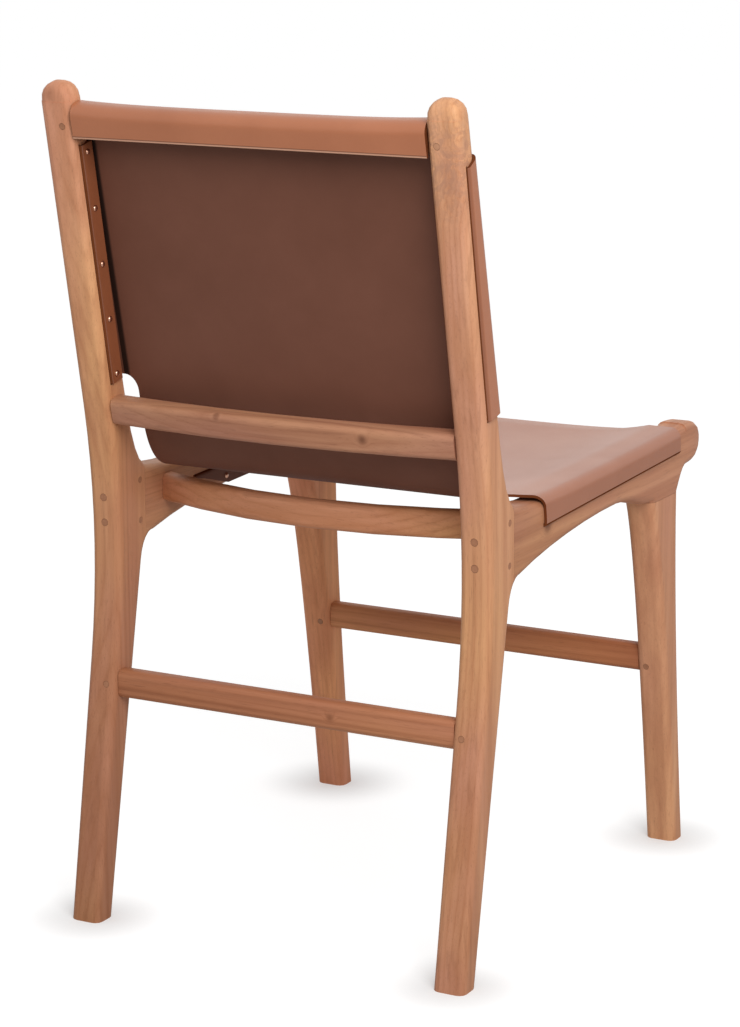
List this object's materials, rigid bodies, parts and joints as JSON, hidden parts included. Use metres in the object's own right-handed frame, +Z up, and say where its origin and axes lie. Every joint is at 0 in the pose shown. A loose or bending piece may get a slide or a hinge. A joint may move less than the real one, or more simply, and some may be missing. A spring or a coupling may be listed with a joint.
{
  "type": "dining chair",
  "caption": "Open wood dining chair with a one-piece leather sling for back and seat, pulled through slots in the posts and side rails and tacked on the inside.",
  "frame": {"origin": "on the floor, under the middle of the bounding box", "axes": "+Z up, the front of the chair faces -Y, the sitter's left is +X"},
  "size_m": [0.4584, 0.5966, 0.8581],
  "materials": {
    "teak_leg": "oiled",
    "teak_rail": "oiled",
    "teak_stretcher": "oiled",
    "dark_end_grain": "oiled end grain",
    "tan_leather": "smooth grain side, suede inside",
    "brass": "polished"
  },
  "bodies": {
    "root": {"rear_leg_left": "teak_leg", "front_leg_left": "teak_leg", "side_rail_left": "teak_rail", "seat_joint_pin_upper_left": "dark_end_grain", "seat_joint_pin_lower_left": "dark_end_grain", "rear_plug_upper_left": "dark_end_grain", "rear_plug_lower_left": "dark_end_grain", "rear_stretcher_pin_left": "dark_end_grain", "front_stretcher_pin_left": "dark_end_grain", "crest_pin_left": "dark_end_grain", "rear_leg_right": "teak_leg", "front_leg_right": "teak_leg", "side_rail_right": "teak_rail", "seat_joint_pin_upper_right": "dark_end_grain", "seat_joint_pin_lower_right": "dark_end_grain", "rear_plug_upper_right": "dark_end_grain", "rear_plug_lower_right": "dark_end_grain", "rear_stretcher_pin_right": "dark_end_grain", "front_stretcher_pin_right": "dark_end_grain", "crest_pin_right": "dark_end_grain", "crest_rail": "teak_rail", "lumbar_rail": "teak_rail", "rear_seat_rail": "teak_rail", "front_seat_rail": "teak_rail", "rear_stretcher": "teak_stretcher", "front_stretcher": "teak_stretcher", "leather_sling": "tan_leather", "back_tack_left_1": "brass", "back_tack_right_1": "brass", "back_tack_left_2": "brass", "back_tack_right_2": "brass", "back_tack_left_3": "brass", "back_tack_right_3": "brass", "back_tack_left_4": "brass", "back_tack_right_4": "brass", "back_tack_left_5": "brass", "back_tack_right_5": "brass", "seat_tack_left_1": "brass", "seat_tack_right_1": "brass", "seat_tack_left_2": "brass", "seat_tack_right_2": "brass", "seat_tack_left_3": "brass", "seat_tack_right_3": "brass", "seat_tack_left_4": "brass", "seat_tack_right_4": "brass", "seat_tack_left_5": "brass", "seat_tack_right_5": "brass", "front_tack_1": "brass", "front_tack_2": "brass", "front_tack_3": "brass", "front_tack_4": "brass", "front_tack_5": "brass"}
  },
  "joints": []
}
